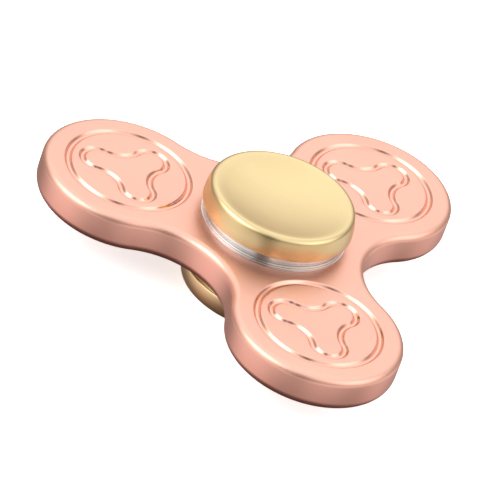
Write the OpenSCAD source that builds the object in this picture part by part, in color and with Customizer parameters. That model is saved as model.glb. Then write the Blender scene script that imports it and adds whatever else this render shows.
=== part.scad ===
// Three-lobed fidget spinner on a 608-size ball bearing.
// Origin: centre of the bearing. +Z: the spin axis. One lobe points along +Y.
// Millimetres.

/* [Body] */
// Distance from the spin axis to the centre of each lobe
lobe_reach = 26.1; // [25.5:0.1:27.5]
// Radius of a lobe, seen from above
lobe_r = 14.9; // [14:0.1:15.5]
// Distance from the spin axis to the narrowest point between two lobes
waist_reach = 16.8; // [16:0.1:18]
// Thickness of the body
body_t = 6.6; // [6:0.1:6.9]
// Edge rounding round the top face
top_round = 1.3; // [0.8:0.1:1.8]
// Edge rounding round the underside
under_round = 2; // [1:0.1:2.2]

/* [Face pattern] */
// Radius of the round groove on each lobe, at its middle
ring_groove_r = 10.6; // [10.2:0.1:11]
// Distance from a lobe's centre to the centre of each tip of the emblem
tip_reach = 5.5; // [5:0.1:5.6]
// Radius of a tip of the emblem, at the middle of its groove
tip_r = 2.8; // [2.6:0.1:3]
// Distance from a lobe's centre to the nearest point of the emblem's groove
emblem_waist = 3.9; // [3.7:0.1:4.1]
// Width of the grooves
groove_w = 1.5; // [1.2:0.1:1.7]
// Depth of the grooves
groove_depth = 0.5; // [0.3:0.05:0.7]

/* [Finger caps] */
// Radius of a cap at the edge that faces the body
cap_edge_r = 13.2; // [12.8:0.1:13.5]
// Radius of a cap where its side meets the rounded rim
cap_side_r = 12.95; // [12.6:0.05:13]
// Thickness of a cap at its rim
cap_t = 4; // [3.6:0.1:4.4]
// Height of the cap's under face above the bearing's end face
cap_lift = 2.3; // [2.2:0.1:2.6]
// Outer rounding of the cap's rim
rim_round = 1.1; // [0.8:0.1:1.3]
// Width of the flat land on the rim, which the spinner rests on
rim_land = 0.5; // [0.4:0.1:0.8]
// Depth of the finger dish
dish_depth = 1.4; // [1:0.1:1.7]

/* [Retaining rings] */
// Outer radius of a retaining ring
ring_r = 12.8; // [12.4:0.1:12.9]
// Radius of the ring's threaded skirt
skirt_r = 12.1; // [11.9:0.1:12.2]
// Length of skirt that screws into the body
skirt_len = 1.6; // [1.2:0.1:1.7]
// Gap between a ring and the cap above it
cap_gap = 0.35; // [0.3:0.05:0.45]

/* [Bearing] */
// Bore radius of the inner race
bore_r = 4; // [4:0.01:4.01]
// Outer radius of the outer race
race_r = 11; // [10.99:0.01:11]
// Width of the bearing
bearing_w = 7; // [7:0.01:7.02]
// Radius of the circle of ball centres
pitch_r = 7.5; // [7.48:0.01:7.52]
// Radius of a ball
ball_r = 1.98; // [1.96:0.01:1.98]
// Number of balls
ball_count = 7; // [7:1:7]

/* [Hidden] */
$fn = 96;

lobes = 3;
half_w = bearing_w / 2;
body_top = half_w;
body_under = half_w - body_t;
cap_under = half_w + cap_lift;
cap_top = cap_under + cap_t;
ring_top = cap_under - cap_gap;

over = 1;              // how far a cutter runs past the face it opens
fit_gap = 0.05;        // radial gap between parts that slide together
race_gap = 0.01;       // gap between a ball and the bottom of its raceway
raceway_curve = 1.04;  // radius of a raceway's groove over that of a ball
raceway_r = ball_r * raceway_curve;
inner_shoulder_r = 6;
outer_shoulder_r = 9.1;
race_bevel = 0.3;
shield_r = 9.7;
shield_hole_r = 6.2;
shield_t = 0.3;
clip_t = 0.3;
clip_w = 0.4;
clip_opening = 24;     // degrees
clip_groove_r = 10;
clip_depth = 0.1;      // how far a clip lies below the bearing's end face
shield_under = half_w - clip_depth - clip_t - shield_t;
lip_r = 10.3;          // bore of a retaining ring's lip
ring_line_z = 0.9;     // height of the turned line on a retaining ring
ring_line_depth = 0.12;
ring_line_w = 0.12;
ring_bevel = 0.2;
boss_r = 5.6;
spigot_r = bore_r - fit_gap;
spigot_gap = 0.4;      // gap between the ends of the two spigots
spigot_len = (bearing_w - spigot_gap) / 2;
stud_r = 2.5;
stud_len = 4.6;
socket_len = 6;
cap_edge_bevel = 0.25;
cage_in = 6.75;
cage_out = 8.25;
cage_sheet = 0.35;
pocket_gap = 0.1;
pocket_r = ball_r + pocket_gap;
rivet_r = 0.3;
rivet_head_r = 0.5;
rivet_head_h = 0.22;
half_step = 180 / ball_count;
lobe_steps = 30;       // flats round a lobe, 7.5 degrees each
neck_steps = 8;        // flats along a waist
side_steps = 4;        // flats over an edge rounding
edge_turn = 75;        // degrees that an edge rounding turns through
edge_in = 1 - cos(edge_turn);
edge_in_z = sin(edge_turn);
edge_past = 0.05;      // how far the blank runs past the flat faces
tip_steps = 8;         // flats along each arc of the emblem
cap_steps = 8;         // flats along each arc of a cap's section

// ---------- shared geometry ----------

// Radius of an arc that touches two neighbouring discs of radius r, whose
// centres stand at distance d from the middle, and comes within w of it
function smooth_waist_r(d, r, w) = (w * w + d * d - w * d - r * r) / (2 * r - 2 * w + d);

function on_circle(r, a) = [r * cos(a), r * sin(a)];

// Points of an arc about c, from angle a0 to a1
function arc(c, r, a0, a1, steps) =
    [for (i = [0 : steps]) c + on_circle(r, a0 + (a1 - a0) * i / steps)];

// Closed outline of three discs joined by hollow waists, grown outwards by the
// given amount. The first disc lies along +X. The waists leave out their end
// points, which are the discs' own.
function three_lobed(reach, r, waist, grow, disc_steps, waist_steps) =
    let (hollow_r = smooth_waist_r(reach, r, waist),
         hollow_reach = waist + hollow_r,
         to_hollow = on_circle(hollow_reach, 60) - [reach, 0],
         disc_turn = atan2(to_hollow[1], to_hollow[0]),
         waist_turn = disc_turn - 60,
         inner_turn = waist_turn * (1 - 2 / waist_steps))
    [for (i = [0 : lobes - 1])
        each concat(
            arc(on_circle(reach, 120 * i), r + grow,
                120 * i - disc_turn, 120 * i + disc_turn, disc_steps),
            arc(on_circle(hollow_reach, 120 * i + 60), hollow_r - grow,
                120 * i + 240 + inner_turn, 120 * i + 240 - inner_turn, waist_steps - 2)
        )];

module tube(r_out, r_in, z0, z1) {
    translate([0, 0, z0])
        difference() {
            cylinder(r = r_out, h = z1 - z0);
            translate([0, 0, -over])
                cylinder(r = r_in, h = z1 - z0 + 2 * over);
        }
}

module mirror_under() {
    mirror([0, 0, 1])
        children();
}

// ---------- body ----------

// Levels of the body's rounded side, from the underside up: [how far in, height].
// Both roundings stop a little short of flat and run on past the faces, so the
// blank is cut off by the flat faces themselves.
side_levels = concat(
    [[under_round * edge_in + edge_past * tan(edge_turn), body_under - edge_past]],
    [for (i = [0 : side_steps])
        let (turn = edge_turn * (1 - i / side_steps))
        [under_round * (1 - cos(turn)), body_under + under_round * (edge_in_z - sin(turn))]],
    [for (i = [0 : side_steps])
        let (turn = edge_turn * i / side_steps)
        [top_round * (1 - cos(turn)), body_top - top_round * (edge_in_z - sin(turn))]],
    [[top_round * edge_in + edge_past * tan(edge_turn), body_top + edge_past]]
);

// A solid skinned over outlines that lie one above another, each of n points
module skinned(outlines, n) {
    levels = len(outlines);
    function at(level, i) = level * n + i % n;
    polyhedron(
        points = [for (outline = outlines) each outline],
        faces = concat(
            [[for (i = [0 : n - 1]) i]],
            [for (level = [0 : levels - 2], i = [0 : n - 1])
                [at(level, i), at(level + 1, i), at(level + 1, i + 1), at(level, i + 1)]],
            [[for (i = [n - 1 : -1 : 0]) at(levels - 1, i)]]
        )
    );
}

module body_blank() {
    outlines = [for (level = side_levels)
        [for (p = three_lobed(lobe_reach, lobe_r, waist_reach, -level[0], lobe_steps, neck_steps))
            [p[0], p[1], level[1]]]];
    rotate(90)
        skinned(outlines, len(outlines[0]));
}

module emblem_outline(grow) {
    polygon(three_lobed(tip_reach, tip_r, emblem_waist, grow, tip_steps, tip_steps));
}

// The round groove and the three-tipped emblem inside it
module face_pattern() {
    tube(ring_groove_r + groove_w / 2, ring_groove_r - groove_w / 2, -groove_depth, over);
    translate([0, 0, -groove_depth])
        linear_extrude(groove_depth + over)
            difference() {
                emblem_outline(groove_w / 2);
                emblem_outline(-groove_w / 2);
            }
}

module body() {
    color([0.93, 0.68, 0.6])
        intersection() {
            body_blank();
            difference() {
                translate([0, 0, body_under])
                    cylinder(r = lobe_reach + lobe_r + over, h = body_t);
                translate([0, 0, body_under - over])
                    cylinder(r = race_r, h = body_t + 2 * over);
                translate([0, 0, body_top - skirt_len - fit_gap])
                    cylinder(r = skirt_r + fit_gap, h = skirt_len + fit_gap + over);
                translate([0, 0, body_under - over])
                    cylinder(r = skirt_r + fit_gap, h = skirt_len + fit_gap + over);
                for (i = [0 : lobes - 1])
                    rotate(90 + 360 / lobes * i)
                        translate([lobe_reach, 0, 0]) {
                            translate([0, 0, body_top])
                                face_pattern();
                            translate([0, 0, body_under])
                                mirror_under()
                                    face_pattern();
                        }
            }
        }
}

// ---------- retaining rings ----------

// A ring whose flange stands on a face at height seat, and whose lip holds the outer race
module retaining_ring(seat) {
    line_z = seat + ring_line_z;
    rotate_extrude()
        polygon([
            [race_r + fit_gap, seat - skirt_len],
            [skirt_r, seat - skirt_len],
            [skirt_r, seat],
            [ring_r - ring_bevel, seat],
            [ring_r, seat + ring_bevel],
            [ring_r, line_z],
            [ring_r - ring_line_depth, line_z],
            [ring_r - ring_line_depth, line_z + ring_line_w],
            [ring_r, line_z + ring_line_w],
            [ring_r, ring_top - ring_bevel],
            [ring_r - ring_bevel, ring_top],
            [lip_r, ring_top],
            [lip_r, half_w],
            [race_r + fit_gap, half_w]
        ]);
}

module upper_retaining_ring() {
    color([0.8, 0.81, 0.82])
        retaining_ring(body_top);
}

module lower_retaining_ring() {
    color([0.8, 0.81, 0.82])
        mirror_under()
            retaining_ring(-body_under);
}

// ---------- bearing ----------

module raceway(bottom_gap) {
    rotate_extrude()
        translate([pitch_r + bottom_gap, 0])
            circle(r = raceway_r);
}

module bearing_outer_race() {
    clip_middle = shield_under + shield_t + clip_t / 2;
    color([0.72, 0.73, 0.75])
        difference() {
            rotate_extrude()
                polygon([
                    [outer_shoulder_r, -shield_under],
                    [shield_r, -shield_under],
                    [shield_r, -half_w],
                    [race_r - race_bevel, -half_w],
                    [race_r, -half_w + race_bevel],
                    [race_r, half_w - race_bevel],
                    [race_r - race_bevel, half_w],
                    [shield_r, half_w],
                    [shield_r, shield_under],
                    [outer_shoulder_r, shield_under]
                ]);
            raceway(ball_r + race_gap - raceway_r);
            for (side = [-1, 1])
                translate([0, 0, side * clip_middle])
                    cylinder(r = clip_groove_r, h = clip_t, center = true);
        }
}

module bearing_inner_race() {
    color([0.72, 0.73, 0.75])
        difference() {
            rotate_extrude()
                polygon([
                    [bore_r, -half_w + race_bevel],
                    [bore_r + race_bevel, -half_w],
                    [inner_shoulder_r, -half_w],
                    [inner_shoulder_r, half_w],
                    [bore_r + race_bevel, half_w],
                    [bore_r, half_w - race_bevel]
                ]);
            raceway(raceway_r - ball_r - race_gap);
        }
}

module ball(i) {
    color([0.85, 0.86, 0.88])
        rotate(90 + 360 / ball_count * (i - 1))
            translate([pitch_r, 0, 0])
                sphere(r = ball_r);
}

// One pressed half of the ribbon cage, above the middle plane
module cage_half() {
    color([0.78, 0.7, 0.5])
        difference() {
            intersection() {
                union() {
                    cylinder(r = cage_out + over, h = cage_sheet);
                    for (i = [0 : ball_count - 1])
                        rotate(90 + 360 / ball_count * i)
                            translate([pitch_r, 0, 0])
                                sphere(r = pocket_r + cage_sheet);
                }
                tube(cage_out, cage_in, 0, half_w);
            }
            for (i = [0 : ball_count - 1])
                rotate(90 + 360 / ball_count * i) {
                    translate([pitch_r, 0, 0])
                        sphere(r = pocket_r);
                    rotate(half_step)
                        translate([pitch_r, 0, -over])
                            cylinder(r = rivet_r + fit_gap / 2, h = cage_sheet + 2 * over);
                }
        }
}

module cage_upper() {
    cage_half();
}

module cage_lower() {
    mirror_under()
        cage_half();
}

module cage_rivets() {
    color([0.75, 0.75, 0.77])
        for (i = [0 : ball_count - 1])
            rotate(90 + half_step + 360 / ball_count * i)
                translate([pitch_r, 0, 0]) {
                    cylinder(r = rivet_r, h = 2 * cage_sheet, center = true);
                    for (z = [cage_sheet, -cage_sheet - rivet_head_h])
                        translate([0, 0, z])
                            cylinder(r = rivet_head_r, h = rivet_head_h);
                }
}

module shield() {
    color([0.66, 0.67, 0.7])
        tube(shield_r, shield_hole_r, shield_under, shield_under + shield_t);
}

module shield_upper() {
    shield();
}

module shield_lower() {
    mirror_under()
        shield();
}

module shield_clip() {
    color([0.55, 0.56, 0.6])
        rotate(90 + clip_opening / 2)
            rotate_extrude(angle = 360 - clip_opening)
                translate([clip_groove_r - clip_w, shield_under + shield_t])
                    square([clip_w, clip_t]);
}

module shield_clip_upper() {
    shield_clip();
}

module shield_clip_lower() {
    mirror_under()
        shield_clip();
}

// ---------- finger caps ----------

// Turned outside of a cap: tapered side, rounded rim, flat land and a dish.
// The dish is one arc that sinks by dish_depth between the land's inner edges.
module cap_disc() {
    land_out = cap_side_r - rim_round;
    land_in = land_out - rim_land;
    dish_r = (land_in * land_in + dish_depth * dish_depth) / (2 * dish_depth);
    dish_turn = asin(land_in / dish_r);
    rotate_extrude()
        polygon(concat(
            [[0, cap_under], [cap_edge_r - cap_edge_bevel, cap_under]],
            [[cap_edge_r, cap_under + cap_edge_bevel]],
            arc([land_out, cap_top - rim_round], rim_round, 0, 90, cap_steps),
            arc([0, cap_top - dish_depth + dish_r], dish_r, -90 + dish_turn, -90, cap_steps)
        ));
}

module cap_boss() {
    translate([0, 0, half_w])
        cylinder(r = boss_r, h = cap_lift + over);
    translate([0, 0, half_w - spigot_len])
        cylinder(r = spigot_r, h = spigot_len + over);
}

module top_cap() {
    color([0.9, 0.8, 0.52]) {
        cap_disc();
        cap_boss();
        translate([0, 0, -stud_len])
            cylinder(r = stud_r - fit_gap, h = stud_len + over);
    }
}

module bottom_cap() {
    color([0.9, 0.8, 0.52])
        mirror_under()
            difference() {
                union() {
                    cap_disc();
                    cap_boss();
                }
                cylinder(r = stud_r, h = socket_len);
            }
}

body();
upper_retaining_ring();
lower_retaining_ring();
bearing_outer_race();
bearing_inner_race();
ball(1);  // ball_1
ball(2);  // ball_2
ball(3);  // ball_3
ball(4);  // ball_4
ball(5);  // ball_5
ball(6);  // ball_6
ball(7);  // ball_7
cage_upper();
cage_lower();
cage_rivets();
shield_upper();
shield_lower();
shield_clip_upper();
shield_clip_lower();
top_cap();
bottom_cap();
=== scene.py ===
"""Three-lobed fidget spinner: its detailed pieces, finishes, stage and camera."""

import math

import bmesh
import bpy
from bpy.props import FloatProperty, FloatVectorProperty, IntProperty, PointerProperty
from mathutils import Matrix, Vector


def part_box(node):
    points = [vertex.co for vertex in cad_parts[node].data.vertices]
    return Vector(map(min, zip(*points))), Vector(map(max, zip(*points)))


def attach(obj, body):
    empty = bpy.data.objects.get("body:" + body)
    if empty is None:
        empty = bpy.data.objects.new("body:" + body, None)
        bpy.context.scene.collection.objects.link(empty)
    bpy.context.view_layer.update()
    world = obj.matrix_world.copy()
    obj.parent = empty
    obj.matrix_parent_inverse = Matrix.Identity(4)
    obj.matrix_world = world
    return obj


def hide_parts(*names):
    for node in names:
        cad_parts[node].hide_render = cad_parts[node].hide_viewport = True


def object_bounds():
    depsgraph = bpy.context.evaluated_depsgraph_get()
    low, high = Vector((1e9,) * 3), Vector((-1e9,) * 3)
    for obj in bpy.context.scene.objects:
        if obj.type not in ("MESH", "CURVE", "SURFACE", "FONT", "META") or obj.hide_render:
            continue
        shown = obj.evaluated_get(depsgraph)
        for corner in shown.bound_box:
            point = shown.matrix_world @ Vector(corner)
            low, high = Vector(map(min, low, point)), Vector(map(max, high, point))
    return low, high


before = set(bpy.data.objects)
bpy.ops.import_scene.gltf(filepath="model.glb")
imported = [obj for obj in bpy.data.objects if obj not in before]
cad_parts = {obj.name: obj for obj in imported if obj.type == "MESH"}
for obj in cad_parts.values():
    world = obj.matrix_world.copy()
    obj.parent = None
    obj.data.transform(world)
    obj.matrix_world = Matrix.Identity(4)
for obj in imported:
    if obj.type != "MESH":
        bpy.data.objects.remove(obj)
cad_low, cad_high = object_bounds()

bl_info = {
    "name": "Fidget spinner",
    "version": (1, 0, 0),
    "blender": (4, 5, 0),
    "location": "View3D > Sidebar > Spinner",
    "description": "Builds a three-lobed fidget spinner, its finishes and a small studio",
    "category": "Add Mesh",
}

MM = 0.001
LOBES = 3
WAIST_BEFORE, WAIST_AFTER = 30, 150  # degrees, on both sides of the lobe on +Y
MERGE = 1e-6  # points closer than this become one
SHARP_ANGLE = math.radians(35)  # edges that turn further stay crisp

body_low, body_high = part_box("body")
cap_low, cap_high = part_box("top_cap")
lower_ring_low, lower_ring_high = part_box("lower_retaining_ring")
upper_ring_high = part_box("upper_retaining_ring")[1]
race_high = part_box("bearing_outer_race")[1]
rivets_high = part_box("cage_rivets")[1]


# ---------- sizes and colours ----------


def length(name, default, description):
    return FloatProperty(
        name=name, description=description, default=default, min=0.0,
        unit="LENGTH", subtype="DISTANCE", precision=5,
    )


def height(name, default, description):
    return FloatProperty(
        name=name, description=description, default=default,
        unit="LENGTH", subtype="DISTANCE", precision=5,
    )


def count(name, default, description):
    return IntProperty(name=name, description=description, default=default, min=3)


def colour(name, default, description):
    return FloatVectorProperty(
        name=name, description=description, default=default,
        subtype="COLOR", size=3, min=0.0, max=1.0,
    )


def amount(name, default, description):
    return FloatProperty(name=name, description=description, default=default, min=0.0)


def angle(name, default, description):
    return FloatProperty(
        name=name, description=description, default=math.radians(default),
        unit="ROTATION", subtype="ANGLE",
    )


class SpinnerBody(bpy.types.PropertyGroup):
    """Sizes of the three-lobed body."""

    lobe_reach: length("Lobe reach", 26.1 * MM, "Spin axis to a lobe's centre")
    waist_reach: length("Waist reach", 16.8 * MM, "Spin axis to the narrowest point")
    top_round: length("Top rounding", 1.3 * MM, "Edge rounding round the top")
    under_round: length("Under rounding", 2.0 * MM, "Edge rounding round the underside")
    seat_radius: length("Seat radius", 12.15 * MM, "Counterbore of a retaining ring")
    seat_depth: length("Seat depth", 1.65 * MM, "Depth of that counterbore")
    lobe_steps: count("Lobe steps", 96, "Facets round a lobe")
    waist_steps: count("Waist steps", 24, "Facets along half a waist")
    round_steps: count("Rounding steps", 10, "Facets over an edge rounding")
    hub_steps: count("Hub steps", 48, "Facets round a third of the bore")


class SpinnerPattern(bpy.types.PropertyGroup):
    """Sizes of the grooves pressed into each lobe."""

    ring_radius: length("Ring radius", 10.6 * MM, "Round groove, at its middle")
    tip_reach: length("Tip reach", 5.5 * MM, "Lobe centre to a tip's centre")
    tip_radius: length("Tip radius", 2.8 * MM, "Tip of the emblem, at its middle")
    emblem_waist: length("Emblem waist", 3.9 * MM, "Lobe centre to its nearest point")
    width: length("Width", 1.5 * MM, "Groove from lip to lip")
    flank: length("Flank", 0.6 * MM, "Width of each soft flank")
    depth: length("Depth", 0.5 * MM, "Depth of the grooves")
    flank_steps: count("Flank steps", 8, "Facets over a flank")
    ring_steps: count("Ring steps", 120, "Facets round the round groove")
    tip_steps: count("Tip steps", 32, "Facets round a tip of the emblem")
    neck_steps: count("Neck steps", 12, "Facets along half a hollow of the emblem")


class SpinnerCap(bpy.types.PropertyGroup):
    """Sizes of the two finger caps."""

    side_lean: angle("Side lean", 17.0, "Lean of the rounded side where it meets the rim")
    thickness: length("Thickness", 4.0 * MM, "Cap at its rim")
    edge_bevel: length("Edge bevel", 0.25 * MM, "Edge that faces the body")
    rim_round: length("Rim rounding", 1.0 * MM, "Outer rounding of the rim")
    rim_land: length("Rim land", 0.4 * MM, "Width of the rim's crest")
    dish_depth: length("Dish depth", 1.4 * MM, "Depth of the finger dish")
    dish_blend: length("Dish blend", 1.3 * MM, "Soft turn from dish to rim")
    boss_radius: length("Boss radius", 5.6 * MM, "Boss that stands on the race")
    spigot_radius: length("Spigot radius", 3.95 * MM, "Spigot in the bearing's bore")
    spigot_length: length("Spigot length", 3.3 * MM, "Length of the spigot")
    stud_radius: length("Stud radius", 2.45 * MM, "Stud that joins the two caps")
    socket_radius: length("Socket radius", 2.5 * MM, "Socket for the stud")
    socket_depth: length("Socket depth", 6.0 * MM, "Socket below the bearing's middle plane")
    dish_steps: count("Dish steps", 24, "Facets from the dish's middle to its soft turn")
    blend_steps: count("Blend steps", 8, "Facets over the soft turn")
    rim_steps: count("Rim steps", 10, "Facets over the rim's rounding")
    side_steps: count("Side steps", 10, "Facets down the side")
    bevel_steps: count("Bevel steps", 4, "Facets over the lower edge")
    turn_steps: count("Turning steps", 160, "Facets round a turned piece")


class SpinnerRing(bpy.types.PropertyGroup):
    """Sizes of the two retaining rings."""

    skirt_radius: length("Skirt radius", 12.1 * MM, "Skirt that screws into the body")
    lip_radius: length("Lip radius", 10.3 * MM, "Bore of the lip on the bearing")
    foot: length("Foot", 0.24 * MM, "Height of the bright foot")
    slope: length("Side slope", 0.6 * MM, "How far the side leans in towards its top")
    line_height: length("Line height", 0.9 * MM, "Deepest turned line, above the body")
    line_depth: length("Line depth", 0.12 * MM, "Depth and width of the deepest line")
    bevel: length("Bevel", 0.2 * MM, "Rounding of the upper edge")
    bevel_steps: count("Bevel steps", 4, "Facets over that rounding")


class SpinnerRivet(bpy.types.PropertyGroup):
    """Sizes of the rivets that hold the cage's halves together."""

    count: count("Rivets", 7, "One between each two balls")
    pitch: length("Pitch radius", 7.5 * MM, "Spin axis to a rivet")
    radius: length("Radius", 0.3 * MM, "Rivet's shank")
    head_radius: length("Head radius", 0.5 * MM, "Rivet's domed head")
    head_height: length("Head height", 0.22 * MM, "Height of the head")
    round_steps: count("Round steps", 16, "Facets round a rivet")
    dome_steps: count("Dome steps", 4, "Facets from a head's top to its edge")


class SpinnerFinish(bpy.types.PropertyGroup):
    """Colours and polish of the metals."""

    rose: colour("Rose gold", (0.80, 0.452, 0.358), "Satin plating of the body")
    rose_rough: amount("Rose roughness", 0.42, "Roughness of the body's plating")
    gold: colour("Satin gold", (0.68, 0.535, 0.29), "Plating of the caps")
    gold_rough: amount("Gold roughness", 0.34, "Roughness of the caps' plating")
    steel: colour("Bright steel", (0.74, 0.775, 0.79), "Turned retaining rings")
    steel_rough: amount("Steel roughness", 0.27, "Roughness of the rings")
    race: colour("Bearing steel", (0.62, 0.63, 0.65), "Ground bearing races")
    ball: colour("Ball steel", (0.72, 0.73, 0.75), "Polished balls")
    cage: colour("Cage steel", (0.52, 0.47, 0.38), "Pressed cage strip")
    shield: colour("Shield steel", (0.5, 0.51, 0.54), "Rolled shields and clips")


class SpinnerStudio(bpy.types.PropertyGroup):
    """Floor, light and camera."""

    floor_size: length("Floor size", 8.0, "Side of the square floor")
    floor_white: amount("Floor white", 0.95, "Paleness of the floor")
    floor_glow: amount("Floor glow", 0.62, "Light that the board gives off by itself")
    low_light: amount("Low light", 0.45, "Light from near the horizon")
    high_light: amount("High light", 1.4, "Light from overhead")
    deep_light: amount("Deep light", 0.07, "Light from straight below")
    key_light: amount("Key light", 2.9, "Soft box at the upper left")
    fill_light: amount("Fill light", 1.3, "Low soft box at the left")
    back_light: amount("Back light", 0.53, "Panel behind the spinner")
    right_light: amount("Right light", 1.1, "Panel above the right")
    front_light: amount("Front light", 0.12, "Panel above the front")
    front_bounce: amount("Front bounce", 0.92, "Light from the board in front")
    left_bounce: amount("Left bounce", 1.12, "Light from the board at the left")
    right_bounce: amount("Right bounce", 0.75, "Light from the board at the right")
    card: amount("Dark card", 0.87, "How much the dark card hides")
    azimuth: angle("Azimuth", -88.84, "Camera's turn round the spinner")
    elevation: angle("Elevation", 34.42, "Camera's height above the horizon")
    roll: angle("Roll", 20.04, "Camera's tilt about its own axis")
    lens: amount("Lens", 308.4, "Focal length in millimetres")
    distance: length("Distance", 723.4 * MM, "Camera to the point it looks at")
    aim_right: height("Aim right", -3.985 * MM, "Aim point, to the camera's right")
    aim_up: height("Aim up", -4.357 * MM, "Aim point, upwards in the picture")


# ---------- small geometry helpers ----------


def polar(radius, turn):
    return Vector((radius * math.cos(turn), radius * math.sin(turn)))


def between(a, b, share):
    return a + (b - a) * share


def lobed_third(reach, radius, waist, inset, lobe_steps, waist_steps):
    """A third of a three-lobed outline: from the waist before the lobe on +Y to the next waist."""
    hollow = (waist * waist + reach * reach - waist * reach - radius * radius) / (
        2 * radius - 2 * waist + reach
    )
    lobe = Vector((0, reach))
    middle = polar(waist + hollow, math.radians(WAIST_BEFORE))
    to_middle = middle - lobe
    turn = math.atan2(to_middle.y, to_middle.x)
    facing_back = math.radians(WAIST_BEFORE + 180)
    before = [
        middle + polar(hollow + inset, between(facing_back, math.pi + turn, i / waist_steps))
        for i in range(waist_steps)
    ]
    round_lobe = [
        lobe + polar(radius - inset, between(turn, math.pi - turn, i / lobe_steps))
        for i in range(lobe_steps + 1)
    ]
    after = [Vector((-p.x, p.y)) for p in reversed(before)]
    return before + round_lobe + after


def turned(points, turn):
    return [Matrix.Rotation(turn, 2) @ p for p in points]


def lobed_outline(reach, radius, waist, inset, lobe_steps, waist_steps):
    """The whole outline, as three thirds without their shared ends."""
    third = lobed_third(reach, radius, waist, inset, lobe_steps, waist_steps)[:-1]
    return [p for i in range(LOBES) for p in turned(third, 2 * math.pi / LOBES * i)]


class Skin:
    """A mesh made of rows of points, with the two finish attributes."""

    def __init__(self):
        self.bm = bmesh.new()
        self.worn = self.bm.verts.layers.float.new("worn")
        self.hollow = self.bm.verts.layers.float.new("hollow")

    def row(self, points, z, worn=0.0, hollow=0.0):
        made = []
        for p in points:
            v = self.bm.verts.new((p.x, p.y, z))
            v[self.worn], v[self.hollow] = worn, hollow
            made.append(v)
        return made

    def strip(self, a, b, closed=False):
        n = len(a)
        for i in range(n if closed else n - 1):
            j = (i + 1) % n
            self.bm.faces.new((a[i], a[j], b[j], b[i]))

    def fill(self, *loops):
        """Flat face bounded by closed loops of points, the first outside and the others holes."""
        edges = []
        for loop in loops:
            for a, b in zip(loop, loop[1:] + loop[:1]):
                edges.append(self.bm.edges.get((a, b)) or self.bm.edges.new((a, b)))
        bmesh.ops.triangle_fill(self.bm, use_beauty=True, edges=edges)

    def mesh(self, name):
        made = bpy.data.meshes.new(name)
        self.bm.to_mesh(made)
        self.bm.free()
        return made


def plain(name, mesh):
    made = bpy.data.objects.new(name, mesh)
    bpy.context.scene.collection.objects.link(made)
    return made


# ---------- nodes ----------


def maths(tree, operation, *values):
    """A Math node, and each value is a number or a socket."""
    node = tree.nodes.new("ShaderNodeMath")
    node.operation = operation
    for i, value in enumerate(values):
        if isinstance(value, (int, float)):
            node.inputs[i].default_value = value
        else:
            tree.links.new(value, node.inputs[i])
    return node.outputs[0]


def ranged(tree, value, start, stop, low, high, smooth=False):
    """Takes start to stop onto low to high, and holds low and high beyond them."""
    node = tree.nodes.new("ShaderNodeMapRange")
    if smooth:
        node.interpolation_type = "SMOOTHSTEP"
    for key, number in (("From Min", start), ("From Max", stop), ("To Min", low), ("To Max", high)):
        node.inputs[key].default_value = number
    tree.links.new(value, node.inputs["Value"])
    return node.outputs["Result"]


def node_tree(name, inputs):
    """A geometry tree with a geometry in and out, and further named inputs."""
    tree = bpy.data.node_groups.new(name, "GeometryNodeTree")
    tree.interface.new_socket("Geometry", in_out="INPUT", socket_type="NodeSocketGeometry")
    tree.interface.new_socket("Geometry", in_out="OUTPUT", socket_type="NodeSocketGeometry")
    for label, kind in inputs:
        tree.interface.new_socket(label, in_out="INPUT", socket_type=kind)
    return tree, tree.nodes.new("NodeGroupInput"), tree.nodes.new("NodeGroupOutput")


def finish_tree(tree, geometry, start, end):
    """Merges doubles, realizes instances and sets the material."""
    real = tree.nodes.new("GeometryNodeRealizeInstances")
    merge = tree.nodes.new("GeometryNodeMergeByDistance")
    smooth = tree.nodes.new("GeometryNodeSetShadeSmooth")
    paint = tree.nodes.new("GeometryNodeSetMaterial")
    tree.links.new(geometry, real.inputs["Geometry"])
    tree.links.new(real.outputs[0], merge.inputs["Geometry"])
    tree.links.new(start.outputs["Merge distance"], merge.inputs["Distance"])
    tree.links.new(merge.outputs[0], smooth.inputs["Geometry"])
    tree.links.new(smooth.outputs[0], paint.inputs["Geometry"])
    tree.links.new(start.outputs["Material"], paint.inputs["Material"])
    tree.links.new(paint.outputs[0], end.inputs["Geometry"])


def round_array_tree():
    """Repeats what it is given round the spin axis."""
    tree, start, end = node_tree("Round array", [
        ("Copies", "NodeSocketInt"),
        ("Merge distance", "NodeSocketFloat"),
        ("Material", "NodeSocketMaterial"),
    ])
    points = tree.nodes.new("GeometryNodePoints")
    copy = tree.nodes.new("GeometryNodeInstanceOnPoints")
    index = tree.nodes.new("GeometryNodeInputIndex")
    turn = tree.nodes.new("ShaderNodeCombineXYZ")
    step = maths(tree, "DIVIDE", 2 * math.pi, start.outputs["Copies"])
    tree.links.new(maths(tree, "MULTIPLY", index.outputs[0], step), turn.inputs["Z"])
    tree.links.new(start.outputs["Copies"], points.inputs["Count"])
    tree.links.new(points.outputs[0], copy.inputs["Points"])
    tree.links.new(start.outputs["Geometry"], copy.inputs["Instance"])
    tree.links.new(turn.outputs[0], copy.inputs["Rotation"])
    finish_tree(tree, copy.outputs[0], start, end)
    return tree


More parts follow.
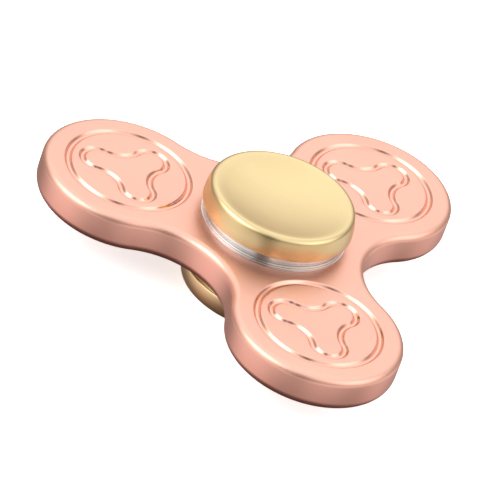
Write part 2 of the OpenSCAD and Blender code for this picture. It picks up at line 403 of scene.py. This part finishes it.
def turning_tree():
    """Turns a section, a chain of points in the XZ plane, round the spin axis."""
    tree, start, end = node_tree("Turned piece", [
        ("Steps", "NodeSocketInt"),
        ("Merge distance", "NodeSocketFloat"),
        ("Material", "NodeSocketMaterial"),
    ])
    section = start.outputs["Geometry"]
    size = tree.nodes.new("GeometryNodeAttributeDomainSize")
    grid = tree.nodes.new("GeometryNodeMeshGrid")
    index = tree.nodes.new("GeometryNodeInputIndex")
    across = maths(tree, "ADD", start.outputs["Steps"], 1)
    tree.links.new(section, size.inputs["Geometry"])
    tree.links.new(size.outputs["Point Count"], grid.inputs["Vertices X"])
    tree.links.new(across, grid.inputs["Vertices Y"])
    halfway = maths(tree, "ADD", index.outputs[0], 0.5)
    along = maths(tree, "FLOOR", maths(tree, "DIVIDE", halfway, across))
    step = maths(tree, "SUBTRACT", index.outputs[0], maths(tree, "MULTIPLY", along, across))
    turn = maths(tree, "DIVIDE", maths(tree, "MULTIPLY", step, 2 * math.pi), start.outputs["Steps"])

    def sampled(kind, value):
        node = tree.nodes.new("GeometryNodeSampleIndex")
        node.data_type, node.domain = kind, "POINT"
        tree.links.new(section, node.inputs["Geometry"])
        tree.links.new(value, node.inputs["Value"])
        tree.links.new(along, node.inputs["Index"])
        return node.outputs["Value"]

    place = tree.nodes.new("GeometryNodeInputPosition")
    split = tree.nodes.new("ShaderNodeSeparateXYZ")
    spot = tree.nodes.new("ShaderNodeCombineXYZ")
    tree.links.new(sampled("FLOAT_VECTOR", place.outputs[0]), split.inputs[0])
    for axis, trig in (("X", "COSINE"), ("Y", "SINE")):
        tree.links.new(
            maths(tree, "MULTIPLY", split.outputs["X"], maths(tree, trig, turn)), spot.inputs[axis]
        )
    tree.links.new(split.outputs["Z"], spot.inputs["Z"])
    move = tree.nodes.new("GeometryNodeSetPosition")
    tree.links.new(grid.outputs["Mesh"], move.inputs["Geometry"])
    tree.links.new(spot.outputs[0], move.inputs["Position"])
    worn = tree.nodes.new("GeometryNodeInputNamedAttribute")
    worn.data_type = "FLOAT"
    worn.inputs["Name"].default_value = "worn"
    keep = tree.nodes.new("GeometryNodeStoreNamedAttribute")
    keep.data_type, keep.domain = "FLOAT", "POINT"
    keep.inputs["Name"].default_value = "worn"
    tree.links.new(move.outputs[0], keep.inputs["Geometry"])
    tree.links.new(sampled("FLOAT", worn.outputs["Attribute"]), keep.inputs["Value"])
    finish_tree(tree, keep.outputs[0], start, end)
    return tree


def grown(name, seed_mesh, tree, values):
    """A plain object: a seed mesh put through a tree, with its normals outwards."""
    seed = plain(name + "_seed", seed_mesh)
    modifier = seed.modifiers.new(tree.name, "NODES")
    modifier.node_group = tree
    sockets = {
        s.name: s.identifier for s in tree.interface.items_tree
        if s.item_type == "SOCKET" and s.in_out == "INPUT"
    }
    for label, value in values.items():
        modifier[sockets[label]] = value
    bpy.context.view_layer.update()
    mesh = bpy.data.meshes.new_from_object(
        seed.evaluated_get(bpy.context.evaluated_depsgraph_get())
    )
    bpy.data.objects.remove(seed)
    bm = bmesh.new()
    bm.from_mesh(mesh)
    bmesh.ops.recalc_face_normals(bm, faces=bm.faces)
    open_edges = sum(not e.is_manifold for e in bm.edges)
    bm.to_mesh(mesh)
    bm.free()
    if open_edges:
        raise RuntimeError(f"{name} has {open_edges} open edges")
    mesh.shade_smooth()
    mesh.set_sharp_from_angle(angle=SHARP_ANGLE)
    mesh.name = name
    return plain(name, mesh)


# ---------- finishes ----------


PALE_TINT, DEEP_TINT = 1.02, 0.965  # how far a metal's colour drifts
PLATING_DRIFT, TURNED_DRIFT = 55.0, 90.0  # how fine that drift is
EDGE_POLISH = 0.05  # how much smoother a worn edge is
CLOUD_SCALE, CLOUDS = 140.0, 0.02  # how finely and how far plating's roughness drifts
FINE_GRAIN, GRAIN_HEIGHT, GRAIN_STRENGTH = 9000.0, 0.008 * MM, 0.25
GROOVE_SHADE_TINT, GROOVE_SHADE_COVER = (0.95, 0.8, 0.74), 0.35  # painted shade in a groove, and how much it covers
HOLLOW_POLISH, HOLLOW_LIP = 0.19, 0.3  # a groove is smoother, from this share of its depth on
LINE_SHADE_TINT, LINE_END = 0.45, 0.55  # painted shade in a turned line, and the noise at which lines end
LINE_ROUGH, LINE_STRENGTH, LINE_WANDER = 0.03, 0.5, 0.004
BRUSHED_TURN = 0.25  # of a full turn
NOISE_LOW, NOISE_HIGH = 0.3, 0.7  # noise seldom goes past these


def shade(base, by):
    return tuple(min(1.0, part * by) for part in base)


class Finish:
    """A metal built from nodes on Object coordinates."""

    def __init__(self, name):
        self.material = bpy.data.materials.new(name)
        self.material.use_nodes = True
        self.tree = self.material.node_tree
        self.shader = self.tree.nodes["Principled BSDF"]
        self.shader.inputs["Metallic"].default_value = 1.0
        self.place = self.tree.nodes.new("ShaderNodeTexCoord").outputs["Object"]
        self.normal = None

    def link(self, a, b):
        self.tree.links.new(a, b)

    def noise(self, scale, detail=2.0, vector=None):
        node = self.tree.nodes.new("ShaderNodeTexNoise")
        node.inputs["Scale"].default_value = scale
        node.inputs["Detail"].default_value = detail
        self.link(vector or self.place, node.inputs["Vector"])
        return node.outputs["Fac"]

    def spread(self, noise, low, high, stop=NOISE_HIGH):
        """Noise stretched from low to high."""
        return ranged(self.tree, noise, NOISE_LOW, stop, low, high)

    def attribute(self, name):
        node = self.tree.nodes.new("ShaderNodeAttribute")
        node.attribute_name = name
        return node.outputs["Fac"]

    def mixed(self, below, factor, on_top):
        """Goes from the colour below, plain or linked, to the plain one on top."""
        node = self.tree.nodes.new("ShaderNodeMix")
        node.data_type = "RGBA"
        if isinstance(below, tuple):
            node.inputs["A"].default_value = (*below, 1)
        else:
            self.link(below, node.inputs["A"])
        node.inputs["B"].default_value = (*on_top, 1)
        self.link(factor, node.inputs["Factor"])
        return node.outputs["Result"]

    def drifting(self, base, scale):
        """The metal's colour, which drifts a little from place to place."""
        drift = self.spread(self.noise(scale), 0.0, 1.0)
        return self.mixed(shade(base, DEEP_TINT), drift, shade(base, PALE_TINT))

    def polished(self, rough):
        """Roughness with its worn edges made smoother."""
        wear = ranged(self.tree, self.attribute("worn"), 0.0, 1.0, 0.0, -EDGE_POLISH)
        return maths(self.tree, "ADD", rough, wear)

    def bump(self, value, distance, strength):
        node = self.tree.nodes.new("ShaderNodeBump")
        node.inputs["Distance"].default_value = distance
        node.inputs["Strength"].default_value = strength
        self.link(value, node.inputs["Height"])
        if self.normal is not None:
            self.link(self.normal, node.inputs["Normal"])
        self.normal = node.outputs["Normal"]
        self.link(self.normal, self.shader.inputs["Normal"])

    def turned_place(self):
        """Distance from the axis and height, so that noise on it draws turned lines."""
        split = self.tree.nodes.new("ShaderNodeSeparateXYZ")
        self.link(self.place, split.inputs[0])
        flat = self.tree.nodes.new("ShaderNodeCombineXYZ")
        self.link(split.outputs["X"], flat.inputs["X"])
        self.link(split.outputs["Y"], flat.inputs["Y"])
        reach = self.tree.nodes.new("ShaderNodeVectorMath")
        reach.operation = "LENGTH"
        self.link(flat.outputs[0], reach.inputs[0])
        out = self.tree.nodes.new("ShaderNodeCombineXYZ")
        self.link(reach.outputs["Value"], out.inputs["X"])
        self.link(split.outputs["Z"], out.inputs["Y"])
        wander = self.tree.nodes.new("ShaderNodeVectorMath")
        wander.operation = "MULTIPLY_ADD"
        wander.inputs[1].default_value = (LINE_WANDER,) * 3
        self.link(self.place, wander.inputs[0])
        self.link(out.outputs[0], wander.inputs[2])
        return wander.outputs[0]


def satin_plating(name, base, rough, grain):
    """Fine blasted plating, a little smoother at worn edges, with painted shade darkening its grooves.
    """
    metal = Finish(name)
    groove = metal.attribute("hollow")
    # Painted shade: the colour deep in a groove is darker and redder, where shade falls.
    painted_groove_shade = tuple(part * tint for part, tint in zip(base, GROOVE_SHADE_TINT))
    groove_shade_mask = ranged(metal.tree, groove, 0.0, 1.0, 0.0, GROOVE_SHADE_COVER)
    tint = metal.mixed(metal.drifting(base, PLATING_DRIFT), groove_shade_mask, painted_groove_shade)
    metal.link(tint, metal.shader.inputs["Base Color"])
    clouds = metal.spread(metal.noise(CLOUD_SCALE, detail=4.0), rough - CLOUDS, rough + CLOUDS)
    pressed = ranged(metal.tree, groove, 0.0, HOLLOW_LIP, 0.0, -HOLLOW_POLISH)
    rough_all = maths(metal.tree, "ADD", metal.polished(clouds), pressed)
    metal.link(rough_all, metal.shader.inputs["Roughness"])
    metal.bump(metal.noise(grain), GRAIN_HEIGHT, GRAIN_STRENGTH)
    return metal.material


def turned_metal(name, base, rough, line, depth, line_shade=0.05, brushed=0.0):
    """Lathe-turned metal, with fine lines that run round the axis and painted shade along them."""
    metal = Finish(name)
    metal.shader.inputs["Anisotropic"].default_value = brushed
    metal.shader.inputs["Anisotropic Rotation"].default_value = BRUSHED_TURN
    lines = metal.noise(line, vector=metal.turned_place())
    # Painted shade: the colour darkens along the turned lines.
    shadow = metal.spread(lines, line_shade, 0.0, stop=LINE_END)
    tint = metal.mixed(metal.drifting(base, TURNED_DRIFT), shadow, shade(base, LINE_SHADE_TINT))
    metal.link(tint, metal.shader.inputs["Base Color"])
    streaks = metal.spread(lines, rough - LINE_ROUGH, rough + LINE_ROUGH)
    metal.link(metal.polished(streaks), metal.shader.inputs["Roughness"])
    metal.bump(lines, depth, LINE_STRENGTH)
    metal.bump(metal.noise(FINE_GRAIN), GRAIN_HEIGHT, GRAIN_STRENGTH)
    return metal.material


def dress(node, material):
    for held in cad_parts[node].material_slots:
        held.material = material


# ---------- body ----------


def groove_section(pattern):
    """Across a groove, from its outer side: (offset from its middle, depth, worn, hollow)."""
    half, support = pattern.width / 2, 0.1 * MM
    steps = [i / pattern.flank_steps for i in range(pattern.flank_steps + 1)]
    side = [(half + support, 0.0, 0.0, 0.0)]
    for step in steps:
        sunk = (1 - math.cos(math.pi * step)) / 2
        worn = 1 - abs(2 * step - 1)
        side.append((half - pattern.flank * step, pattern.depth * sunk, worn, sunk))
    return side + [(-offset, *rest) for offset, *rest in reversed(side)]


def body_levels(shape, top, under):
    """The side of the body from its top face down: (inset, height, worn)."""
    support = 0.12 * MM
    quarter = [math.pi / 2 * i / shape.round_steps for i in range(shape.round_steps + 1)]
    levels = [(shape.top_round + support, top, 0.0)]
    for turn in quarter:
        inset = shape.top_round * (1 - math.sin(turn))
        levels.append((inset, top - shape.top_round * (1 - math.cos(turn)), math.sin(2 * turn)))
    for turn in reversed(quarter):
        inset = shape.under_round * (1 - math.sin(turn))
        levels.append((inset, under + shape.under_round * (1 - math.cos(turn)), math.sin(2 * turn)))
    levels.append((shape.under_round + support, under, 0.0))
    return levels


def side_rows(skin, shape, top, under, lobe_radius):
    """Rows of points down the side of the body."""
    rows = []
    for inset, z, worn in body_levels(shape, top, under):
        outline = lobed_third(
            shape.lobe_reach, lobe_radius, shape.waist_reach, inset, shape.lobe_steps, shape.waist_steps
        )
        rows.append(skin.row(outline, z, worn))
    return rows


def bore_rows(skin, shape, top, under, bore):
    """Rows of points down the bore, with a counterbore at both ends."""
    hub = [
        polar(1.0, math.radians(between(WAIST_BEFORE, WAIST_AFTER, i / shape.hub_steps)))
        for i in range(shape.hub_steps + 1)
    ]
    seat, ledge_top, ledge_under = shape.seat_radius, top - shape.seat_depth, under + shape.seat_depth
    levels = (
        (seat, top), (seat, ledge_top), (bore, ledge_top),
        (bore, ledge_under), (seat, ledge_under), (seat, under),
    )
    return [skin.row([h * radius for h in hub], z) for radius, z in levels]


def body_third(shape, pattern, top, under, lobe_radius, bore):
    """A third of the body, with its lobe along +Y."""
    skin = Skin()
    sides = side_rows(skin, shape, top, under, lobe_radius)
    bores = bore_rows(skin, shape, top, under, bore)
    for rows in (sides, bores):
        for above, below in zip(rows, rows[1:]):
            skin.strip(above, below)
    centre = Vector((0, shape.lobe_reach))
    turns = [math.radians(360 / pattern.ring_steps * i) for i in range(pattern.ring_steps)]
    for face_z, into, side_row, bore_row in (
        (top, -1, sides[0], bores[0]), (under, 1, sides[-1], bores[-1]),
    ):
        rings, emblem = [], []
        for offset, depth, worn, hollow in groove_section(pattern):
            z = face_z + into * depth
            circle = [centre + polar(pattern.ring_radius + offset, turn) for turn in turns]
            rings.append(skin.row(circle, z, worn, hollow))
            outline = lobed_outline(
                pattern.tip_reach, pattern.tip_radius, pattern.emblem_waist, -offset,
                pattern.tip_steps, pattern.neck_steps,
            )
            emblem.append(skin.row([centre + q for q in outline], z, worn, hollow))
        for loops in (rings, emblem):
            for outer, inner in zip(loops, loops[1:]):
                skin.strip(outer, inner, closed=True)
        skin.fill(side_row + bore_row[::-1], rings[0])
        skin.fill(rings[-1], emblem[0])
        skin.fill(emblem[-1])
    return skin.mesh("body_third")


class SPINNER_OT_body(bpy.types.Operator):
    """Make the grooved three-lobed body"""

    bl_idname = "spinner.body"
    bl_label = "Body"

    def execute(self, context):
        shape, pattern = context.scene.spinner_body, context.scene.spinner_pattern
        finish = context.scene.spinner_finish
        lobe_radius = body_high.y - shape.lobe_reach
        third = body_third(shape, pattern, body_high.z, body_low.z, lobe_radius, race_high.x)
        rose = satin_plating("rose_gold", finish.rose, finish.rose_rough, grain=FINE_GRAIN)
        body = grown("three_lobed_body", third, round_array_tree(), {
            "Copies": LOBES, "Merge distance": MERGE, "Material": rose,
        })
        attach(body, "rotor")
        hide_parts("body")
        return {"FINISHED"}


# ---------- turned pieces ----------


def section_mesh(name, points):
    """A chain of (radius, height, worn) points in the XZ plane."""
    skin = Skin()
    verts = [skin.row([Vector((r, 0))], z, worn)[0] for r, z, worn in points]
    for a, b in zip(verts, verts[1:]):
        skin.bm.edges.new((a, b))
    return skin.mesh(name)


def rounding(centre_r, centre_z, radius, start, stop, steps):
    """An arc, from start to stop in degrees, that wears as an edge does."""
    turns = [math.radians(between(start, stop, i / steps)) for i in range(steps + 1)]
    return [
        (centre_r + radius * math.cos(turn), centre_z + radius * math.sin(turn), 1.0) for turn in turns
    ]


def cap_outside(shape, under, edge_radius):
    """From the middle of the dish, over the rim and down the side to the under face."""
    top, lean = under + shape.thickness, shape.side_lean
    side_low, side_high = under + shape.edge_bevel, top - shape.rim_round * (1 - math.sin(lean))
    drawn_in = (side_high - side_low) * math.tan(lean) / 2
    land_out = edge_radius - drawn_in - shape.rim_round * math.cos(lean)
    land_in = land_out - shape.rim_land
    dish_radius = (land_in ** 2 + shape.dish_depth ** 2) / (2 * shape.dish_depth)

    def dish_height(r):
        return top - shape.dish_depth + dish_radius - math.sqrt(dish_radius ** 2 - r ** 2)

    blend_start = land_in - shape.dish_blend
    points = []
    for i in range(shape.dish_steps):
        reach = blend_start * i / shape.dish_steps
        points.append((reach, dish_height(reach), 0.0))
    first = Vector((blend_start, dish_height(blend_start)))
    corner, last = Vector((land_in, top)), Vector((land_out, top))
    for i in range(shape.blend_steps + 1):
        share = i / shape.blend_steps
        q = first * (1 - share) ** 2 + corner * 2 * share * (1 - share) + last * share ** 2
        points.append((q.x, q.y, share))
    rim_z = top - shape.rim_round
    points += rounding(land_out, rim_z, shape.rim_round, 90, math.degrees(lean), shape.rim_steps)[1:]
    for i in range(1, shape.side_steps):
        up = 1 - i / shape.side_steps
        points.append((edge_radius - drawn_in * up ** 2, between(side_low, side_high, up), 0.0))
    points += rounding(
        edge_radius - shape.edge_bevel, side_low, shape.edge_bevel, 0, -90, shape.bevel_steps
    )
    return points


def flipped(points):
    return [(r, -z, worn) for r, z, worn in points]


class SPINNER_OT_caps(bpy.types.Operator):
    """Make the two dished finger caps"""

    bl_idname = "spinner.caps"
    bl_label = "Finger caps"

    def execute(self, context):
        shape, finish = context.scene.spinner_cap, context.scene.spinner_finish
        gold = turned_metal("satin_gold", finish.gold, finish.gold_rough, line=5200.0, depth=0.006 * MM)
        under, seat = cap_high.z - shape.thickness, race_high.z
        spigot_end = seat - shape.spigot_length
        chamfer = 0.3 * MM
        outside = cap_outside(shape, under, cap_high.x)
        neck = [
            (shape.boss_radius, under, 0.0), (shape.boss_radius, seat, 0.0),
            (shape.spigot_radius, seat, 0.0), (shape.spigot_radius, spigot_end, 0.0),
        ]
        stud = [
            (shape.stud_radius, spigot_end, 0.0), (shape.stud_radius, cap_low.z + chamfer, 0.0),
            (shape.stud_radius - chamfer, cap_low.z, 0.0), (0.0, cap_low.z, 0.0),
        ]
        socket = [
            (shape.socket_radius, spigot_end, 0.0), (shape.socket_radius, shape.socket_depth, 0.0),
            (0.0, shape.socket_depth, 0.0),
        ]
        for name, node, section in (
            ("upper_finger_cap", "top_cap", outside + neck + stud),
            ("lower_finger_cap", "bottom_cap", flipped(outside + neck + socket)),
        ):
            cap = grown(name, section_mesh(name, section), turning_tree(), {
                "Steps": shape.turn_steps, "Merge distance": MERGE, "Material": gold,
            })
            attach(cap, "hub")
            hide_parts(node)
        return {"FINISHED"}


# Turned lines of a ring: share of the line height, share of the depth and width
TURNED_LINES = ((0.55, 0.4), (1.0, 1.0), (1.25, 0.4))
LINE_FLANK = 0.4  # height of a line's sloping flank, as a share of its width


def ring_section(shape, seat, top, outer, bore, half):
    """A retaining ring above the middle plane, as a closed chain."""
    skirt_length = 1.6 * MM
    skirt_end = seat - skirt_length
    foot_edge, foot_lip, step = 0.06 * MM, 0.04 * MM, 0.06 * MM

    def side(depth, up, worn=0.0):
        """A point on the sloping side, so deep below it and so far above the body."""
        return (outer - depth - shape.slope * up / (top - seat), seat + up, worn)

    points = [
        (bore, skirt_end, 0.0), (shape.skirt_radius, skirt_end, 0.0),
        (shape.skirt_radius, seat, 0.0), (outer - foot_edge, seat, 1.0),
        side(0.0, foot_edge, 1.0), side(0.0, shape.foot - foot_lip, 1.0),
        side(shape.line_depth, shape.foot), side(step, shape.foot + step),
    ]
    for height_share, depth_share in TURNED_LINES:
        low, wide = shape.line_height * height_share, shape.line_depth * depth_share
        points += [
            side(step, low), side(step + wide, low + LINE_FLANK * wide),
            side(step + wide, low + wide), side(step, low + (1 + LINE_FLANK) * wide),
        ]
    points += rounding(
        outer - shape.slope - shape.bevel, top - shape.bevel, shape.bevel, 0, 90, shape.bevel_steps
    )
    points += [(shape.lip_radius, top, 0.0), (shape.lip_radius, half, 0.0), (bore, half, 0.0)]
    return points + points[:1]


class SPINNER_OT_rings(bpy.types.Operator):
    """Make the two threaded retaining rings"""

    bl_idname = "spinner.rings"
    bl_label = "Retaining rings"

    def execute(self, context):
        shape, finish = context.scene.spinner_ring, context.scene.spinner_finish
        steps = context.scene.spinner_cap.turn_steps
        steel = turned_metal(
            "bright_steel", finish.steel, finish.steel_rough, line=7000.0, depth=0.02 * MM,
            line_shade=0.85, brushed=0.8,
        )
        fit_gap = 0.05 * MM
        bore, half = race_high.x + fit_gap, race_high.z
        upper = ring_section(shape, body_high.z, upper_ring_high.z, upper_ring_high.x, bore, half)
        lower = ring_section(shape, -body_low.z, -lower_ring_low.z, lower_ring_high.x, bore, half)
        for name, node, section in (
            ("upper_steel_ring", "upper_retaining_ring", upper),
            ("lower_steel_ring", "lower_retaining_ring", flipped(lower)),
        ):
            ring = grown(name, section_mesh(name, section), turning_tree(), {
                "Steps": steps, "Merge distance": MERGE, "Material": steel,
            })
            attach(ring, "rotor")
            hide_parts(node)
        return {"FINISHED"}


# ---------- bearing ----------


def one_rivet(shape, sheet):
    """A rivet with two domed heads, turned about its own axis at the pitch radius."""
    section = [(0.0, sheet + shape.head_height)]
    for i in range(1, shape.dome_steps + 1):
        turn = math.radians(90 * i / shape.dome_steps)
        section.append(
            (shape.head_radius * math.sin(turn), sheet + shape.head_height * math.cos(turn))
        )
    section.append((shape.radius, sheet))
    section += [(r, -z) for r, z in reversed(section)]
    spot = polar(shape.pitch, math.pi / 2 + math.pi / shape.count)
    turns = [2 * math.pi * k / shape.round_steps for k in range(shape.round_steps)]
    bm = bmesh.new()
    rows = [
        [bm.verts.new((spot.x + q.x, spot.y + q.y, z)) for q in (polar(r, turn) for turn in turns)]
        for r, z in section
    ]
    for above, below in zip(rows, rows[1:]):
        for k in range(shape.round_steps):
            m = (k + 1) % shape.round_steps
            bm.faces.new((above[k], above[m], below[m], below[k]))
    bmesh.ops.remove_doubles(bm, verts=bm.verts, dist=MERGE)
    made = bpy.data.meshes.new("rivet")
    bm.to_mesh(made)
    bm.free()
    return made


class SPINNER_OT_bearing(bpy.types.Operator):
    """Finish the bearing's races, balls, cage and shields, and make its rivets"""

    bl_idname = "spinner.bearing"
    bl_label = "Bearing"

    def execute(self, context):
        rivet, finish = context.scene.spinner_rivet, context.scene.spinner_finish
        race = turned_metal(
            "bearing_steel", finish.race, rough=0.22, line=9000.0, depth=0.006 * MM, line_shade=0.15
        )
        ball = satin_plating("ball_steel", finish.ball, rough=0.09, grain=6000.0)
        cage = satin_plating("cage_steel", finish.cage, rough=0.34, grain=5000.0)
        shield = turned_metal(
            "shield_steel", finish.shield, rough=0.3, line=4000.0, depth=0.01 * MM, line_shade=0.2
        )
        finishes = {
            race: ("bearing_outer_race", "bearing_inner_race"),
            ball: tuple(f"ball_{i + 1}" for i in range(rivet.count)),
            cage: ("cage_upper", "cage_lower"),
            shield: ("shield_upper", "shield_lower", "shield_clip_upper", "shield_clip_lower"),
        }
        for material, nodes in finishes.items():
            for node in nodes:
                dress(node, material)
        sheet = rivets_high.z - rivet.head_height
        rivets = grown("cage_rivet_set", one_rivet(rivet, sheet), round_array_tree(), {
            "Copies": rivet.count, "Merge distance": MERGE, "Material": cage,
        })
        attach(rivets, "cage")
        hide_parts("cage_rivets")
        return {"FINISHED"}


# ---------- stage ----------


# Soft ovals of light: the setting of each, where it comes from, its half angles in degrees
PANELS = (
    ("back_light", (0.80, 0.22, 0.56), 50, 26),
    ("front_light", (-0.66, -0.38, 0.65), 40, 22),
    ("right_light", (-0.12, -0.86, 0.50), 32, 24),
    ("key_light", (-0.32, 0.66, 0.68), 26, 17),
    ("fill_light", (-0.46, 0.86, 0.3), 30, 22),
    ("front_bounce", (-0.88, -0.36, -0.32), 80, 20),
    ("left_bounce", (-0.30, 0.80, -0.48), 38, 20),
    ("right_bounce", (0.36, -0.82, -0.38), 30, 20),
)
DARK_CARD = ((-0.95, -0.02, 0.27), 13, 50)
PANEL_CORE, PANEL_EDGE = 0.5, 1.3  # shares of its half angles between which a panel fades
SKY_START = 0.1  # sine of the height at which the overhead light starts
# Tint of the light, from straight below at 0 to straight above at 1
TINTS = (
    (0.09, (1, 0.48, 0.46)), (0.24, (1, 0.89, 0.9)), (0.4, (1, 0.98, 0.95)),
    (0.55, (1, 0.88, 0.76)), (0.63, (1, 0.91, 0.82)), (0.76, (1, 1, 1)),
)


def studio_world(studio):
    """Soft light that depends only on the direction it comes from."""
    world = bpy.data.worlds.new("soft_studio")
    world.use_nodes = True
    tree = world.node_tree
    background = tree.nodes["Background"]
    direction = tree.nodes.new("ShaderNodeTexCoord").outputs["Generated"]

    def along(axis, scale):
        dot = tree.nodes.new("ShaderNodeVectorMath")
        dot.operation = "DOT_PRODUCT"
        dot.inputs[1].default_value = axis * scale
        tree.links.new(direction, dot.inputs[0])
        return dot.outputs["Value"]

    def panel(towards, wide, high, value):
        """Soft oval that faces the spinner; wide and high are half angles in degrees."""
        towards = Vector(towards).normalized()
        side = Vector((0, 0, 1)).cross(towards).normalized()
        across = along(side, 1 / math.sin(math.radians(wide)))
        upwards = along(towards.cross(side), 1 / math.sin(math.radians(high)))
        out = maths(tree, "SQRT", maths(
            tree, "ADD", maths(tree, "MULTIPLY", across, across),
            maths(tree, "MULTIPLY", upwards, upwards),
        ))
        fade = ranged(tree, out, PANEL_EDGE, PANEL_CORE, 0.0, value, smooth=True)
        facing = maths(tree, "GREATER_THAN", along(towards, 1.0), 0.0)
        return maths(tree, "MULTIPLY", fade, facing)

    split = tree.nodes.new("ShaderNodeSeparateXYZ")
    tree.links.new(direction, split.inputs[0])
    height_up = split.outputs["Z"]
    sky = ranged(tree, height_up, SKY_START, 1.0, studio.low_light, studio.high_light, smooth=True)
    ground = ranged(tree, height_up, 0.0, -1.0, 0.0, studio.low_light - studio.deep_light)
    total = maths(tree, "SUBTRACT", sky, ground)
    for setting, towards, wide, high in PANELS:
        total = maths(tree, "ADD", total, panel(towards, wide, high, getattr(studio, setting)))
    clear = maths(tree, "SUBTRACT", 1.0, panel(*DARK_CARD, studio.card))
    tree.links.new(maths(tree, "MULTIPLY", total, clear), background.inputs["Strength"])
    tint = tree.nodes.new("ShaderNodeValToRGB")
    stops = tint.color_ramp.elements
    while len(stops) < len(TINTS):
        stops.new(0.5)
    for stop, (spot, tone) in zip(stops, TINTS):
        stop.position, stop.color = spot, (*tone, 1)
    tree.links.new(maths(tree, "MULTIPLY_ADD", height_up, 0.5, 0.5), tint.inputs["Fac"])
    tree.links.new(tint.outputs["Color"], background.inputs["Color"])
    bpy.context.scene.world = world


def floor_finish(studio):
    """Matt white board, lit a little from inside as a light table is."""
    material = bpy.data.materials.new("white_board")
    material.use_nodes = True
    shader = material.node_tree.nodes["Principled BSDF"]
    for key, value in (
        ("Base Color", (*[studio.floor_white] * 3, 1)), ("Roughness", 0.9),
        ("Specular IOR Level", 0.0),
        ("Emission Color", (1, 1, 1, 1)), ("Emission Strength", studio.floor_glow),
    ):
        shader.inputs[key].default_value = value
    return material


SENSOR_WIDTH = 36.0  # millimetres


class SPINNER_OT_stage(bpy.types.Operator):
    """Make the floor, the soft light and the camera"""

    bl_idname = "spinner.stage"
    bl_label = "Stage"

    def execute(self, context):
        studio = context.scene.spinner_studio
        half = studio.floor_size / 2
        mesh = bpy.data.meshes.new("floor")
        corners = [(-half, -half), (half, -half), (half, half), (-half, half)]
        mesh.from_pydata([(x, y, cad_low.z) for x, y in corners], [], [(0, 1, 2, 3)])
        floor = plain("floor", mesh)
        mesh.materials.append(floor_finish(studio))
        floor.visible_glossy = False
        studio_world(studio)
        context.scene.view_settings.view_transform = "Standard"

        back = Vector((
            math.sin(studio.azimuth) * math.cos(studio.elevation),
            -math.cos(studio.azimuth) * math.cos(studio.elevation),
            math.sin(studio.elevation),
        ))
        level = Vector((math.cos(studio.azimuth), math.sin(studio.azimuth), 0))
        upright = back.cross(level)
        right = level * math.cos(studio.roll) + upright * math.sin(studio.roll)
        up = upright * math.cos(studio.roll) - level * math.sin(studio.roll)
        aim = Vector((0, 0, body_high.z)) + right * studio.aim_right + up * studio.aim_up
        data = bpy.data.cameras.new("camera")
        data.lens, data.sensor_width = studio.lens, SENSOR_WIDTH
        data.clip_start, data.clip_end = 0.05, 20.0
        camera = plain("camera", data)
        camera.matrix_world = Matrix.Translation(aim + back * studio.distance) @ Matrix(
            (right, up, back)
        ).transposed().to_4x4()
        context.scene.camera = camera
        return {"FINISHED"}


# ---------- add-on ----------


class SPINNER_PT_build(bpy.types.Panel):
    """Lists the pieces and the sizes they are made with"""

    bl_idname = "SPINNER_PT_build"
    bl_label = "Fidget spinner"
    bl_space_type = "VIEW_3D"
    bl_region_type = "UI"
    bl_category = "Spinner"

    def draw(self, context):
        for operator in OPERATORS:
            self.layout.operator(operator.bl_idname)
        for name, group in GROUPS.items():
            box = self.layout.box()
            box.label(text=group.__doc__)
            for key in group.__annotations__:
                box.prop(getattr(context.scene, name), key)


OPERATORS = (
    SPINNER_OT_body, SPINNER_OT_rings, SPINNER_OT_caps, SPINNER_OT_bearing, SPINNER_OT_stage,
)
GROUPS = {
    "spinner_body": SpinnerBody,
    "spinner_pattern": SpinnerPattern,
    "spinner_cap": SpinnerCap,
    "spinner_ring": SpinnerRing,
    "spinner_rivet": SpinnerRivet,
    "spinner_finish": SpinnerFinish,
    "spinner_studio": SpinnerStudio,
}


def register():
    for name, group in GROUPS.items():
        bpy.utils.register_class(group)
        setattr(bpy.types.Scene, name, PointerProperty(type=group))
    for cls in (*OPERATORS, SPINNER_PT_build):
        bpy.utils.register_class(cls)


def unregister():
    for cls in (SPINNER_PT_build, *reversed(OPERATORS)):
        bpy.utils.unregister_class(cls)
    for name, group in reversed(GROUPS.items()):
        delattr(bpy.types.Scene, name)
        bpy.utils.unregister_class(group)


def main():
    register()
    bpy.ops.spinner.body()
    bpy.ops.spinner.rings()
    bpy.ops.spinner.caps()
    bpy.ops.spinner.bearing()
    bpy.ops.spinner.stage()


if __name__ == "__main__":
    main()
